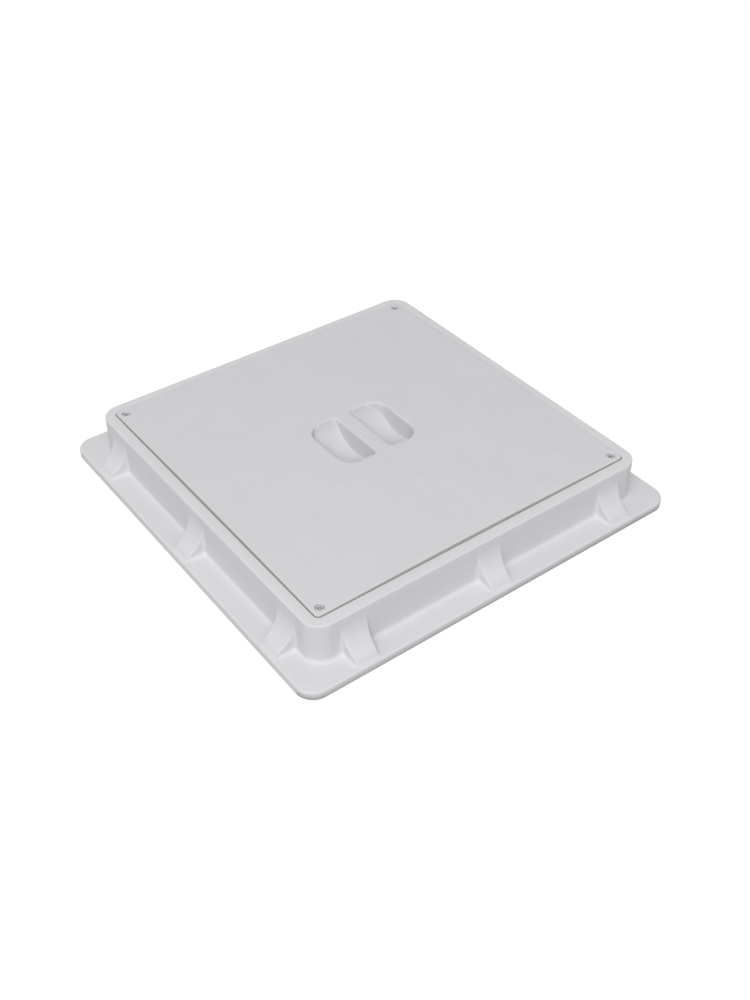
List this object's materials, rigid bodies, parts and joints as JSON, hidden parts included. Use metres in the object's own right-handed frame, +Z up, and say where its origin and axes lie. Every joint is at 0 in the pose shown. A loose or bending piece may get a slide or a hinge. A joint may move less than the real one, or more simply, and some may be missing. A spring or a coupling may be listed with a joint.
{
  "type": "access hatch",
  "caption": "Square access hatch for a ground chamber: a gusseted frame with a ground flange and a crowned honeycomb lid with a hand grip.",
  "frame": {"origin": "on the ground under the middle of the hatch", "axes": "+Z up, +X from the picture's front corner to its right corner, +Y from the front corner to its left corner; the hand grip's bar runs along Y"},
  "size_m": [0.562, 0.562, 0.0758],
  "materials": {
    "moulded_frame": "pale grey moulded composite with a fine satin grain",
    "moulded_lid": "pale grey moulded composite with a fine satin grain",
    "rubber_seal": "black extruded rubber, dull",
    "steel_screw": "stainless steel with a machined head",
    "brass_insert": "turned brass"
  },
  "bodies": {
    "root": {"frame": "moulded_frame", "lid": "moulded_lid", "seal": "rubber_seal", "screw_1": "steel_screw", "screw_2": "steel_screw", "screw_3": "steel_screw", "screw_4": "steel_screw", "insert_1": "brass_insert", "insert_2": "brass_insert", "insert_3": "brass_insert", "insert_4": "brass_insert"}
  },
  "joints": []
}
